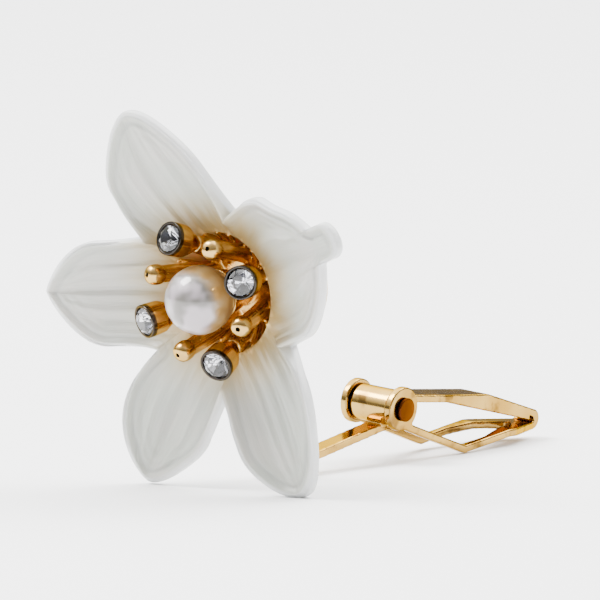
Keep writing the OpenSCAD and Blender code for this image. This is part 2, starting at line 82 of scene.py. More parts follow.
def flower_frame():
    """The flower's frame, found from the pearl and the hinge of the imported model."""
    low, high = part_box("pearl")
    # The peg's hole takes the rearmost bit of the pearl, so its depth is measured from the front
    middle = Vector(((low.x + high.x) / 2, low.y + PEARL_R * MM, (low.z + high.z) / 2))
    hinge = frame["joints"][0]
    across = Vector(hinge["axis"]).normalized()
    way = (Vector(hinge["pos_m"]) - middle) / MM
    span = HINGE_BACK ** 2 + HINGE_DROP ** 2
    back = (HINGE_BACK * way + HINGE_DROP * across.cross(way)) / span
    back = (back - across * back.dot(across)).normalized()
    up = across.cross(back)
    turn = Matrix((across, back, up)).transposed()
    return middle, turn


PEARL_MIDDLE, TURN = flower_frame()
LAY = Matrix.Translation(PEARL_MIDDLE) @ TURN.to_4x4() @ Matrix.Scale(MM, 4)


# Small helpers

def mix(a, b, t):
    return a + (b - a) * t


def clamp01(x):
    return min(1.0, max(0.0, x))


def cos_deg(a):
    return math.cos(math.radians(a))


def sin_deg(a):
    return math.sin(math.radians(a))


def linked(name, mesh):
    """An object at the origin that holds this mesh."""
    made = bpy.data.objects.new(name, mesh)
    bpy.context.scene.collection.objects.link(made)
    return made


def mesh_of(name, points, faces):
    mesh = bpy.data.meshes.new(name)
    mesh.from_pydata([tuple(p) for p in points], [], faces)
    mesh.update()
    return mesh


def smoothed(mesh, sharp_angle=None):
    """Shades a mesh smooth, and keeps edges sharper than sharp_angle degrees sharp."""
    mesh.shade_smooth()
    if sharp_angle:
        mesh.set_sharp_from_angle(angle=math.radians(sharp_angle))
    return mesh


def joined(name, meshes):
    """One mesh made of several."""
    work = bmesh.new()
    for mesh in meshes:
        work.from_mesh(mesh)
    made = bpy.data.meshes.new(name)
    work.to_mesh(made)
    work.free()
    return made


def evaluated_mesh(holder):
    """The plain mesh of an object after its modifiers. The object itself is removed."""
    evaluated = holder.evaluated_get(bpy.context.evaluated_depsgraph_get())
    made = bpy.data.meshes.new_from_object(evaluated)
    bpy.data.objects.remove(holder)
    return made


def remade(mesh, grid, rounds):
    """The mesh made anew on a fine grid, run together and with its sharp edges softened."""
    holder = linked("holder", mesh)
    remesh = holder.modifiers.new("remesh", "REMESH")
    remesh.mode = "VOXEL"
    remesh.voxel_size = grid
    smooth = holder.modifiers.new("smooth", "SMOOTH")
    smooth.factor = 0.5
    smooth.iterations = rounds
    return smoothed(evaluated_mesh(holder))


def store(mesh, name, values, kind="FLOAT", domain="POINT"):
    """Keeps a value of each point, or of each face, on a mesh for its finish to read."""
    layer = mesh.attributes.new(name, kind, domain)
    key = "vector" if kind == "FLOAT_VECTOR" else "value"
    layer.data.foreach_set(key, np.asarray(values, dtype=np.float32).ravel())


def dress(name, mesh, material, body, slot, *nodes):
    """Turns a mesh in the flower's frame into a finished piece that stands for CAD nodes."""
    mesh.transform(LAY)
    mesh.materials.clear()
    mesh.materials.append(material)
    piece = linked(name, mesh)
    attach(piece, body)
    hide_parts(*nodes)


# A point of a profile that is nearer to the axis than this lies on it
ON_AXIS = 1e-6


def turned(name, profile, steps):
    """Turns a profile of (radius, height) round +Z. It starts and ends on the axis."""
    points = []
    rows = []
    for radius, height in profile:
        if radius < ON_AXIS:
            rows.append([len(points)] * steps)
            points.append((0, 0, height))
            continue
        rows.append(list(range(len(points), len(points) + steps)))
        for k in range(steps):
            a = math.tau * k / steps
            points.append((radius * math.cos(a), radius * math.sin(a), height))
    faces = []
    for low, high in zip(rows, rows[1:]):
        for k in range(steps):
            n = (k + 1) % steps
            corners = [low[k], low[n], high[n], high[k]]
            face = [c for i, c in enumerate(corners) if c != corners[i - 1]]
            if len(face) > 2:
                faces.append(face)
    mesh = mesh_of(name, points, faces)
    work = bmesh.new()
    work.from_mesh(mesh)
    bmesh.ops.recalc_face_normals(work, faces=work.faces)
    work.to_mesh(mesh)
    work.free()
    return mesh


# Building node trees

def add_node(tree, kind, inputs=None, **settings):
    """Adds a node. inputs maps a socket's name or number to a value or to another socket."""
    made = tree.nodes.new(kind)
    for key, value in settings.items():
        setattr(made, key, value)
    for key, value in (inputs or {}).items():
        if isinstance(value, bpy.types.NodeSocket):
            tree.links.new(value, made.inputs[key])
        else:
            made.inputs[key].default_value = value
    return made


def maths(tree, operation, a, b):
    """The result of one Math node."""
    return add_node(tree, "ShaderNodeMath", {0: a, 1: b}, operation=operation).outputs[0]


def ranged(tree, value, low, high, to_low=0.0, to_high=1.0, easing="SMOOTHSTEP"):
    """The value's place between low and high, as a place between to_low and to_high."""
    given = {"Value": value, "From Min": low, "From Max": high, "To Min": to_low, "To Max": to_high}
    return add_node(tree, "ShaderNodeMapRange", given, interpolation_type=easing).outputs[0]


def tinted(tree, factor, a, b):
    """A colour mixed from a to b."""
    mixed = add_node(tree, "ShaderNodeMix", {"Factor": factor, 6: a, 7: b}, data_type="RGBA")
    return mixed.outputs[2]


def attribute(tree, name, output="Fac"):
    """A place or mask that the piece's mesh carries."""
    return add_node(tree, "ShaderNodeAttribute", attribute_name=name).outputs[output]


def object_place(tree):
    return add_node(tree, "ShaderNodeTexCoord").outputs["Object"]


def noise(tree, place, scale, detail=3.0, roughness=0.5):
    given = {"Vector": place, "Scale": scale, "Detail": detail, "Roughness": roughness}
    return add_node(tree, "ShaderNodeTexNoise", given).outputs["Fac"]


def group_tree(kind, name, inputs, outputs):
    """A node group with named sockets. inputs are (name, type, default)."""
    tree = bpy.data.node_groups.new(name, kind)
    for label, socket_type, default in inputs:
        socket = tree.interface.new_socket(label, in_out="INPUT", socket_type=socket_type)
        if default is not None:
            socket.default_value = default
    for label, socket_type in outputs:
        tree.interface.new_socket(label, in_out="OUTPUT", socket_type=socket_type)
    given = tree.nodes.new("NodeGroupInput").outputs
    result = tree.nodes.new("NodeGroupOutput").inputs
    return tree, given, result


FLOAT = "NodeSocketFloat"
INT = "NodeSocketInt"
VECTOR = "NodeSocketVector"
OBJECT = "NodeSocketObject"
MATERIAL = "NodeSocketMaterial"
GEOMETRY = "NodeSocketGeometry"


# Effects that several finishes share

# A surface's fine grain: how much finer it is than the broad one, and its share of the height
FINE_GRAIN = 4.7
FINE_SHARE = 0.35


def unevenness_group():
    """Small unevenness of a real surface: its roughness varies, and it isn't quite flat."""
    inputs = [("Place", VECTOR, None), ("Scale", FLOAT, 1000.0), ("Roughness", FLOAT, 0.2),
              ("Spread", FLOAT, 0.1), ("Relief", FLOAT, 0.1), ("Depth", FLOAT, 0.00001)]
    tree, given, result = group_tree("ShaderNodeTree", "Unevenness", inputs,
                                     [("Roughness", FLOAT), ("Normal", VECTOR)])
    broad = noise(tree, given["Place"], given["Scale"])
    fine_scale = maths(tree, "MULTIPLY", given["Scale"], FINE_GRAIN)
    fine = noise(tree, given["Place"], fine_scale, detail=5.0, roughness=0.6)
    swing = maths(tree, "MULTIPLY", maths(tree, "SUBTRACT", broad, 0.5), given["Spread"])
    tree.links.new(maths(tree, "ADD", given["Roughness"], swing), result["Roughness"])
    height = maths(tree, "ADD", broad, maths(tree, "MULTIPLY", fine, FINE_SHARE))
    bump = add_node(tree, "ShaderNodeBump",
                    {"Strength": given["Relief"], "Distance": given["Depth"], "Height": height})
    tree.links.new(bump.outputs[0], result["Normal"])
    return tree


UNEVENNESS = unevenness_group()


def uneven(tree, place, **values):
    """Places the shared unevenness in a material."""
    made = add_node(tree, "ShaderNodeGroup", node_tree=UNEVENNESS)
    tree.links.new(place, made.inputs["Place"])
    for key, value in values.items():
        made.inputs[key].default_value = value
    return made.outputs


def finish_of(name, **values):
    """A new material. values set the shader's own sockets, with _ for a space."""
    made = bpy.data.materials.new(name)
    made.use_nodes = True
    tree = made.node_tree
    shader = tree.nodes["Principled BSDF"]
    for key, value in values.items():
        shader.inputs[key.replace("_", " ")].default_value = value
    return made, tree, shader.inputs


def feed(tree, shader, **results):
    """Links results to the shader's own sockets, named with _ for a space."""
    for key, value in results.items():
        tree.links.new(value, shader[key.replace("_", " ")])


# Finishes. Distances from an edge or the flower's axis are in mm, and depths of relief in metres.

RESIN_COOL = (0.42, 0.44, 0.392, 1)
RESIN_WARM = (0.465, 0.45, 0.415, 1)
VEIN_GROOVE_SHADE = (0.28, 0.29, 0.26, 1)
RIM_HIGHLIGHT = (0.70, 0.71, 0.72, 1)
LINE_SHADE = (0.26, 0.27, 0.26, 1)
# Fineness of the veins' tint, painted shade in their grooves, across and along a petal
TINT_ACROSS = 10.0
TINT_ALONG = 1.6
# How far in from the edge the painted highlight of the rim reaches, and where the grey line of
# painted shade beside it starts, is darkest and ends
RIM_WIDTH = 0.26
LINE_START = 0.3
LINE_MIDDLE = 0.52
LINE_END = 0.8
LINE_STRENGTH = 0.35
# Colours of the spray, each at its share of the way from SPRAY_START to SPRAY_END, which are
# distances from the flower's axis. The first is lightened as painted light in the shaded bell, and
# the dark brown after it is a painted shadow just outside the throat. The spray thins out from
# SPRAY_FULL to SPRAY_GONE, and its streaks reach this much further or less far.
SPRAY_AND_PAINTED_LIGHT_STOPS = [
    (0.10, (0.85, 0.62, 0.28, 1)),
    (0.22, (0.37, 0.26, 0.10, 1)),
    (0.42, (0.38, 0.30, 0.155, 1)),
    (0.70, (0.43, 0.38, 0.25, 1)),
    (1.00, (0.43, 0.42, 0.33, 1)),
]
SPRAY_START = 3.0
SPRAY_END = 6.6
SPRAY_FULL = 4.0
SPRAY_GONE = 7.4
SPRAY_STREAK = 0.25


def throat_spray_and_painted_light(tree):
    """The spray in the flower's throat, with painted light inside the bell and a painted shadow just
    outside the throat: how strong it is, and its colour.
    """
    streaks = noise(tree, attribute(tree, "rays", "Vector"), 1.0, detail=2.0, roughness=0.6)
    swing = ranged(tree, streaks, 0.25, 0.75, -SPRAY_STREAK, SPRAY_STREAK)
    reach = maths(tree, "ADD", attribute(tree, "axis_distance"), swing)
    share = ranged(tree, reach, SPRAY_START, SPRAY_END, easing="LINEAR")
    ramp = add_node(tree, "ShaderNodeValToRGB", {"Fac": share})
    stops = ramp.color_ramp.elements
    stops[0].position, stops[0].color = SPRAY_AND_PAINTED_LIGHT_STOPS[0]
    stops[1].position, stops[1].color = SPRAY_AND_PAINTED_LIGHT_STOPS[-1]
    for position, colour in SPRAY_AND_PAINTED_LIGHT_STOPS[1:-1]:
        stops.new(position).color = colour
    strength = ranged(tree, reach, SPRAY_FULL, SPRAY_GONE, 1.0, 0.0)
    amount = maths(tree, "MULTIPLY", strength, attribute(tree, "front"))
    return amount, ramp.outputs["Color"]


def petal_resin():
    """Pearly white resin with fine veins, sprayed gold-brown in its throat, with a painted highlight
    on the rim, painted shade in the vein grooves and a line beside the rim, and painted light and
    shadow in the throat's colours.
    """
    made, tree, shader = finish_of(
        "Pearly petal resin", Subsurface_Weight=0.2, Subsurface_Scale=0.0005, IOR=1.5,
        Coat_Weight=0.25, Coat_Roughness=0.2, Subsurface_Radius=(1.0, 0.9, 0.75))
    place = object_place(tree)
    cloud = noise(tree, place, 260.0, detail=2.0)
    tint = tinted(tree, ranged(tree, cloud, 0.35, 0.65), RESIN_COOL, RESIN_WARM)
    veins_at = add_node(tree, "ShaderNodeCombineXYZ", {
        "X": maths(tree, "MULTIPLY", attribute(tree, "across"), TINT_ACROSS),
        "Y": maths(tree, "MULTIPLY", attribute(tree, "along"), TINT_ALONG),
        "Z": attribute(tree, "petal")}).outputs[0]
    veins = noise(tree, veins_at, 1.0, roughness=0.65)
    # Painted shade: the veins are tinted grey where their bump is lowest, in the grooves
    veined = tinted(tree, ranged(tree, veins, 0.2, 0.8, 0.35, 0.0), tint, VEIN_GROOVE_SHADE)
    edge = attribute(tree, "edge_distance")
    # Painted highlight whitens the rim, and painted shade greys a line beside it, on the raised lip
    # and the groove
    rim = tinted(tree, ranged(tree, edge, 0.0, RIM_WIDTH, 0.7, 0.0), veined, RIM_HIGHLIGHT)
    line = maths(tree, "MULTIPLY", ranged(tree, edge, LINE_START, LINE_MIDDLE),
                 ranged(tree, edge, LINE_MIDDLE, LINE_END, 1.0, 0.0))
    lined = tinted(tree, maths(tree, "MULTIPLY", line, LINE_STRENGTH), rim, LINE_SHADE)
    amount, spray_and_painted_light = throat_spray_and_painted_light(tree)
    lumps = uneven(tree, place, Scale=700.0, Roughness=0.34, Spread=0.12, Relief=0.15, Depth=0.00002)
    relief = add_node(tree, "ShaderNodeBump", {
        "Strength": 0.6, "Distance": 0.0001, "Height": veins, "Normal": lumps["Normal"]})
    feed(tree, shader, Base_Color=tinted(tree, amount, lined, spray_and_painted_light), Roughness=lumps["Roughness"],
         Normal=relief.outputs[0])
    return made


# Painted shade for cups' mouths and knobs' dimples
PAINTED_SHADE_BLACK = (0.045, 0.04, 0.035, 1)
# Brown of the painted dark reflections on the polished strip
DARK_REFLECTION_BROWN = (0.10, 0.045, 0.01, 1)
GOLD_TINT = (0.8, 0.6, 0.3, 1)
# Fineness of the patches of the second colour and of the painted dark reflection, as shares of the
# grain's
SHADE_PATCH = 0.4
DARK_REFLECTION_PATCH = 0.6


def gold(name, colour, shade, roughness, grain, relief, collar=False, dark_reflections=0.0):
    """Warm gold plating: shade is its second colour, in patches, and grain its fineness.

    A mask that the piece carries can darken it with painted shade, and the last setting is how
    strongly brown patches of painted dark reflection show in it.
    """
    made, tree, shader = finish_of(name, Metallic=1.0, Specular_Tint=GOLD_TINT)
    place = object_place(tree)
    patch = noise(tree, place, grain * SHADE_PATCH, detail=2.0)
    tone = tinted(tree, ranged(tree, patch, 0.3, 0.7), colour, shade)
    if dark_reflections:
        # Brown patches of painted dark reflection
        dark_reflected = noise(tree, place, grain * DARK_REFLECTION_PATCH, roughness=0.6)
        tone = tinted(tree, ranged(tree, dark_reflected, 0.52, 0.66, 0.0, dark_reflections), tone, DARK_REFLECTION_BROWN)
    if collar:
        # Painted shade: dark where the piece's mask marks a cup's mouth or a knob's dimple
        tone = tinted(tree, attribute(tree, "collar"), tone, PAINTED_SHADE_BLACK)
    marks = uneven(tree, place, Scale=grain, Roughness=roughness, Spread=0.14, Relief=relief,
                   Depth=0.00003)
    feed(tree, shader, Base_Color=tone, Roughness=marks["Roughness"], Normal=marks["Normal"])
    return made


PEARL_ROSE = (0.42, 0.37, 0.40, 1)
PEARL_CLOUD_AND_DARK_REFLECTION = (0.12, 0.115, 0.10, 1)
PEARL_PAINTED_SHEEN = (0.50, 0.42, 0.43, 1)
PEARL_GOLD_REFLECTION = (0.30, 0.18, 0.055, 1)
# The painted reflection of the gold shows from here to here, as shares of the pearl's radius behind
# its middle
GOLD_START = -0.35
GOLD_FULL = 0.02


def pearl_coat():
    """Lustrous coated pearl, with a painted sheen towards its outline and dark clouds that are
    partly painted dark reflection. Its rear half has a painted reflection of the gold that it stands
    in.
    """
    made, tree, shader = finish_of(
        "Pearl lustre", Metallic=0.2, Coat_Weight=1.0, Coat_Roughness=0.1, Coat_IOR=1.55, IOR=1.4)
    place = object_place(tree)
    cloud = noise(tree, place, 520.0, detail=2.0)
    # Dark clouds, partly the pearl's own cloudiness and partly painted dark reflection
    body = tinted(tree, ranged(tree, cloud, 0.42, 0.56), PEARL_ROSE, PEARL_CLOUD_AND_DARK_REFLECTION)
    # Painted sheen: paler towards the pearl's outline
    painted_sheen = add_node(tree, "ShaderNodeLayerWeight", {"Blend": 0.35}).outputs["Facing"]
    with_sheen = tinted(tree, maths(tree, "MULTIPLY", painted_sheen, 0.5), body, PEARL_PAINTED_SHEEN)
    depth = maths(tree, "ADD", attribute(tree, "depth"), maths(tree, "MULTIPLY", cloud, 0.5))
    # Painted reflection of the gold seat on the pearl's rear
    with_gold_reflection = tinted(tree, ranged(tree, depth, GOLD_START, GOLD_FULL, 0.0, 0.95), with_sheen, PEARL_GOLD_REFLECTION)
    skin = uneven(tree, place, Scale=800.0, Roughness=0.34, Spread=0.12, Relief=0.3, Depth=0.00008)
    feed(tree, shader, Base_Color=with_gold_reflection, Roughness=skin["Roughness"], Normal=skin["Normal"])
    return made


STONE_COOL = (0.97, 0.98, 1.0, 1)
STONE_WARM = (1.0, 0.98, 0.98, 1)
FOIL_BRIGHT = (0.95, 0.95, 0.97, 1)
FOIL_WORN = (0.80, 0.80, 0.84, 1)
FOIL_DARK_REFLECTION = (0.015, 0.015, 0.02, 1)


def clear_stone():
    made, tree, shader = finish_of(
        "Clear cut stone", IOR=1.6, Transmission_Weight=1.0, Coat_Weight=0.3, Coat_Roughness=0.02)
    place = object_place(tree)
    tone = tinted(tree, noise(tree, place, 500.0), STONE_COOL, STONE_WARM)
    polish = uneven(tree, place, Scale=1500.0, Roughness=0.015, Spread=0.01, Relief=0.02,
                    Depth=0.00001)
    feed(tree, shader, Base_Color=tone, Roughness=polish["Roughness"])
    return made


def mirror_foil():
    """The foil behind a stone, with painted dark reflections where the shade attribute says so."""
    made, tree, shader = finish_of("Mirror foil behind a stone", Metallic=1.0)
    place = object_place(tree)
    worn = tinted(tree, noise(tree, place, 900.0), FOIL_BRIGHT, FOIL_WORN)
    # Painted dark reflections on the marked facets
    tone = tinted(tree, attribute(tree, "shade"), worn, FOIL_DARK_REFLECTION)
    polish = uneven(tree, place, Scale=1500.0, Roughness=0.05, Spread=0.04, Relief=0.05,
                    Depth=0.00001)
    feed(tree, shader, Base_Color=tone, Roughness=polish["Roughness"])
    return made


RESIN = petal_resin()
CAST_GOLD = gold("Cast gold", (0.76, 0.51, 0.20, 1), (0.56, 0.35, 0.11, 1),
                 roughness=0.25, grain=1400.0, relief=0.2)
# The cups' gold is a lighter copy of the knobs' gold: painted light that makes up for the dark the
# cups reflect
LIGHTENED_CUP_GOLD = gold("Cup gold", (0.80, 0.50, 0.16, 1), (0.62, 0.37, 0.10, 1),
                roughness=0.2, grain=1100.0, relief=0.1, collar=True)
KNOB_GOLD = gold("Knob gold", (0.64, 0.42, 0.15, 1), (0.48, 0.30, 0.09, 1),
                 roughness=0.22, grain=1100.0, relief=0.1, collar=True)
STRIP_GOLD = gold("Polished gold strip", (0.46, 0.29, 0.08, 1), (0.35, 0.20, 0.045, 1),
                  roughness=0.15, grain=900.0, relief=0.1, dark_reflections=0.75)
# The pin's gold is much darker and browner than the rest of the clip
PIN_GOLD = gold("Brown gold pin", (0.12, 0.035, 0.008, 1), (0.06, 0.016, 0.004, 1),
                roughness=0.34, grain=1200.0, relief=0.15)
PEARL = pearl_coat()
STONE = clear_stone()
FOIL = mirror_foil()


# Flower

PETAL_REACH = 12.6
PETAL_HALF = 4.1
PETAL_WALL = 0.7
PETAL_LIFT = 1.2
PETAL_RIB = 0.1
NOTCH_REACH = 5.8
NOTCH_BACK = 2.6
BELL_BACK = 4.6
THROAT_R = 3.6
THROAT_BACK = BELL_BACK - 2.6
BELL_WALL = 1.3
THROAT_WALL = BELL_WALL + 0.5
HOLE_R = 1.2
COME_FORWARD = 1.5
CROWDING = 1.4
SPUR_START = 0.4
SPUR_FULL = 0.6
SPUR_ROUND = 0.9
SPUR_BLEND = 3
HOLLOW_DEPTH = 0.9
LEAST_HALF = 0.3
RIBS_ACROSS = 1.5

# Petals counter-clockwise from the right as seen from the front. Lengths are shares: reach and
# sweep of PETAL_REACH, halves and spurs of PETAL_HALF, lifts of PETAL_LIFT, tip_back of
# NOTCH_BACK. belly and body_end are shares of the way from notch to tip.
Petal = namedtuple("Petal", "direction reach tip_back half_a half_b lift_a lift_b belly body_end"
                            " point sweep spur_a spur_b wave_a wave_b")
PETALS = [
    Petal(27, 0.92, -0.10, 1.00, 1.04, 0.45, 0.45, 0.25, 0.78, 0.55, 0.00, 0.30, 0.22, -0.15, 0.00),
    Petal(118, 0.91, -0.55, 0.73, 0.86, 0.20, 0.45, 0.34, 1.00, 0.60, -0.10, 0.00, 0.00, 0.06, 0.02),
    Petal(184, 0.91, 0.15, 0.83, 0.70, 0.60, 0.90, 0.38, 1.00, 0.82, 0.04, 0.00, 0.00, 0.02, 0.02),
    Petal(248, 1.00, 0.50, 0.72, 0.72, 0.10, 1.00, 0.28, 1.00, 0.60, 0.00, 0.00, 0.00, 0.06, 0.00),
    Petal(311, 1.00, 0.50, 0.65, 0.78, 0.90, 0.75, 0.40, 1.00, 0.56, -0.13, 0.00, 0.00, 0.00, 0.03),
]
# A wave swings a side of a petal out and then in again, by a share of PETAL_HALF, from here on
WAVE_START = 0.4
# The notch on the counter-clockwise side of each petal: out and back are shares of NOTCH_REACH
# and NOTCH_BACK
Notch = namedtuple("Notch", "direction out back")
NOTCHES = [
    Notch(76, 0.85, 0.70),
    Notch(147, 0.88, 0.45),
    Notch(223, 1.00, 1.00),
    Notch(281, 0.96, 0.50),
    Notch(335, 0.93, 0.90),
]

PETAL_COLUMNS = 96
# Rows of points from the throat to EDGE_SHARE of the way to the outline, and from there on
INNER_ROWS = 36
EDGE_ROWS = 28
EDGE_SHARE = 0.75
PETAL_ROWS = INNER_ROWS + EDGE_ROWS
BELL_ROWS = 14
RIM_ROWS = 5
# The bell's floor is flat to this share of the way out, and then rises with this power
BELL_FLAT = 0.5
BELL_CURVE = 1.4
RIM_BULGE = 0.3 * PETAL_WALL
# The rim bulges out, so a tip stops short by as much
TIP_SHORT = RIM_BULGE
# How often the folds between a petal's midline and its sides are evened out
EVENING_ROUNDS = 150
# Lines pressed in along each petal's edge: place is the distance from it, and width half the
# line's. The one with a negative depth is a raised lip.
EdgeLine = namedtuple("EdgeLine", "place width depth")
EDGE_LINES = [
    EdgeLine(0.18, 0.14, -0.09),
    EdgeLine(0.52, 0.13, 0.07),
    EdgeLine(0.98, 0.16, 0.035),
    EdgeLine(1.45, 0.18, 0.03),
]
# The veins pressed into a petal's front: how many to a side, how deep, and how far from the
# edge they have their full depth
VEINS = 3.5
VEIN_DEPTH = 0.05
VEIN_CALM = 1.5
# Over this distance from the edge a petal thins by this much on each side
EDGE_ROUND = 0.3
EDGE_THIN = 0.06
# 1 makes the rim's section a half ellipse, and less makes it squarer
RIM_SQUARE = 0.6
# The rim bulges away from the ring of points with this place from the last
RIM_AIM = 4
# How fast the veins, the edge lines and the thinning of the wall set in on the way out from the
# throat, and how late the edge lines do
VEIN_RISE = 4
LINE_RISE = 3
LINE_DELAY = 0.5
WALL_FALL = 3
# The streaks of the spray: how often they change round the flower, and how little outwards
STREAKS_ROUND = 9
STREAKS_OUT = 0.25


def notch(i):
    n = NOTCHES[i]
    return n.direction, n.out * NOTCH_REACH, n.back * NOTCH_BACK


def notch_before(i):
    direction, out, back = notch(i - 1)
    if direction > PETALS[i].direction:
        direction -= 360
    return direction, out, back


def side_notch(i, side):
    return notch(i) if side > 0 else notch_before(i)


def half_width(i, side, q):
    """Half the width of petal i at share q from notch to tip, on one side of its midline."""
    p = PETALS[i]
    direction, out, _ = side_notch(i, side)
    if q >= 1:
        return 0.0
    root = out * abs(sin_deg(direction - p.direction))
    full = PETAL_HALF * (p.half_a if side > 0 else p.half_b)
    narrowing = clamp01((q - p.belly) / (p.body_end - p.belly))
    if q < p.belly:
        body = mix(root, full, sin_deg(90 * q / p.belly))
    else:
        body = full * max(0.0, cos_deg(90 * narrowing)) ** p.point
        wave = PETAL_HALF * (p.wave_a if side > 0 else p.wave_b)
        body += wave * sin_deg(360 * clamp01((q - WAVE_START) / (1 - WAVE_START))) * (1 - q)
        body = max(0.0, body)
    spur_in = clamp01((q - SPUR_START) / (SPUR_FULL - SPUR_START))
    spur_out = clamp01((q - SPUR_ROUND) / (1 - SPUR_ROUND))
    spur = PETAL_HALF * (p.spur_a if side > 0 else p.spur_b)
    spur = spur * spur_in * math.sqrt(1 - spur_out ** 2)
    return (body ** SPUR_BLEND + spur ** SPUR_BLEND) ** (1 / SPUR_BLEND)


def outline(i, tau):
    """Outline of petal i at share tau, from its clockwise notch over the tip to the other."""
    p = PETALS[i]
    side = -1 if tau < 0.5 else 1
    direction, out, back = side_notch(i, side)
    q = 1 - abs(1 - 2 * tau) ** CROWDING
    start = out * cos_deg(direction - p.direction)
    along = mix(start, PETAL_REACH * p.reach - TIP_SHORT, q)
    across = side * half_width(i, side, q) + PETAL_REACH * p.sweep * q * q
    lift = PETAL_LIFT * (p.lift_a if side > 0 else p.lift_b)
    depth = mix(back, NOTCH_BACK * p.tip_back, q) - lift * 4 * q * (1 - q) - PETAL_WALL / 2
    c, s = cos_deg(p.direction), sin_deg(p.direction)
    return along * c - across * s, depth, along * s + across * c


def petal_place(i, x, z):
    """(share from notch to tip, signed share from midline to side) of a point of petal i."""
    p = PETALS[i]
    along = x * cos_deg(p.direction) + z * sin_deg(p.direction)
    across = -x * sin_deg(p.direction) + z * cos_deg(p.direction)
    side = -1 if across < 0 else 1
    direction, out, _ = side_notch(i, side)
    start = out * cos_deg(direction - p.direction)
    q = clamp01((along - start) / (PETAL_REACH * p.reach - start))
    off = across - PETAL_REACH * p.sweep * q * q
    v = clamp01(abs(off) / max(LEAST_HALF, half_width(i, side, q)))
    return q, math.copysign(v, off)


def bell_rise_at(s):
    """Share of its rise that the bell has at share s of the way from the hole to the throat."""
    return clamp01((s - BELL_FLAT) / (1 - BELL_FLAT)) ** BELL_CURVE


def row_share(k):
    """Share of the way from the throat to the outline at which row k lies."""
    if k < INNER_ROWS:
        return EDGE_SHARE * k / INNER_ROWS
    return mix(EDGE_SHARE, 1.0, (k - INNER_ROWS) / (EDGE_ROWS - 1))


def flower_grid():
    """Front surface of the flower as rings from the hole outwards, and each point's places."""
    rings = BELL_ROWS + PETAL_ROWS
    columns = len(PETALS) * PETAL_COLUMNS
    front = np.zeros((rings, columns, 3))
    places = {name: np.zeros((rings, columns)) for name in ("along", "across", "petal", "share")}
    for i in range(len(PETALS)):
        for c in range(PETAL_COLUMNS):
            col = i * PETAL_COLUMNS + c
            tau = c / PETAL_COLUMNS
            angle = mix(notch_before(i)[0], notch(i)[0], tau)
            rim = outline(i, tau)
            for r in range(rings):
                if r < BELL_ROWS:
                    s = r / BELL_ROWS
                    radius = mix(HOLE_R, THROAT_R, s)
                    x, z = radius * cos_deg(angle), radius * sin_deg(angle)
                    y = mix(BELL_BACK, THROAT_BACK, bell_rise_at(s))
                    t = 0.0
                else:
                    t = row_share(r - BELL_ROWS)
                    x = mix(THROAT_R * cos_deg(angle), rim[0], t)
                    z = mix(THROAT_R * sin_deg(angle), rim[2], t)
                    y = mix(THROAT_BACK, rim[1], 1 - (1 - t) ** COME_FORWARD)
                q, v = petal_place(i, x, z)
                y += HOLLOW_DEPTH * PETAL_LIFT * (abs(v) - v * v) * sin_deg(180 * t)
                front[r, col] = x, y, z
                places["along"][r, col] = q
                places["across"][r, col] = v
                places["petal"][r, col] = i
                places["share"][r, col] = t
    return front, places


def evened(front):
    """Evens out the depth of the front surface between the hole and the outline."""
    y = front[:, :, 1].copy()
    for _ in range(EVENING_ROUNDS):
        around = (np.roll(y, 1, axis=1) + np.roll(y, -1, axis=1)) / 2
        y[1:-1] = (y[1:-1] + around[1:-1]) / 2
    front = front.copy()
    front[:, :, 1] = y
    return front


def wall_of(share):
    """Thickness of the flower at each point of its grid."""
    wall = np.ones(share.shape) * PETAL_WALL
    bell_rise = np.array([bell_rise_at(r / BELL_ROWS) for r in range(BELL_ROWS)])
    wall[:BELL_ROWS] = mix(BELL_WALL, THROAT_WALL, bell_rise)[:, None]
    fall = np.clip(share[BELL_ROWS:] * WALL_FALL, 0, 1)
    wall[BELL_ROWS:] = mix(THROAT_WALL, PETAL_WALL, fall)
    return wall


def rim_rings(face, rear, out):
    """Rings that close the shell from the edge of its face to that of its rear."""
    middle = (face + rear) / 2
    half = (rear - face) / 2
    rings = []
    for k in range(1, RIM_ROWS + 1):
        a = math.pi * k / (RIM_ROWS + 1)
        level = math.copysign(abs(math.cos(a)) ** RIM_SQUARE, math.cos(a))
        rings.append(middle - half * level + out * RIM_BULGE * math.sin(a) ** RIM_SQUARE)
    return rings


def ring_faces(rings, columns):
    """Faces of a closed shell of rings, whose last ring meets its first."""
    faces = []
    for r in range(rings):
        r2 = (r + 1) % rings
        for c in range(columns):
            c2 = (c + 1) % columns
            faces.append((r * columns + c, r * columns + c2, r2 * columns + c2, r2 * columns + c))
    return faces


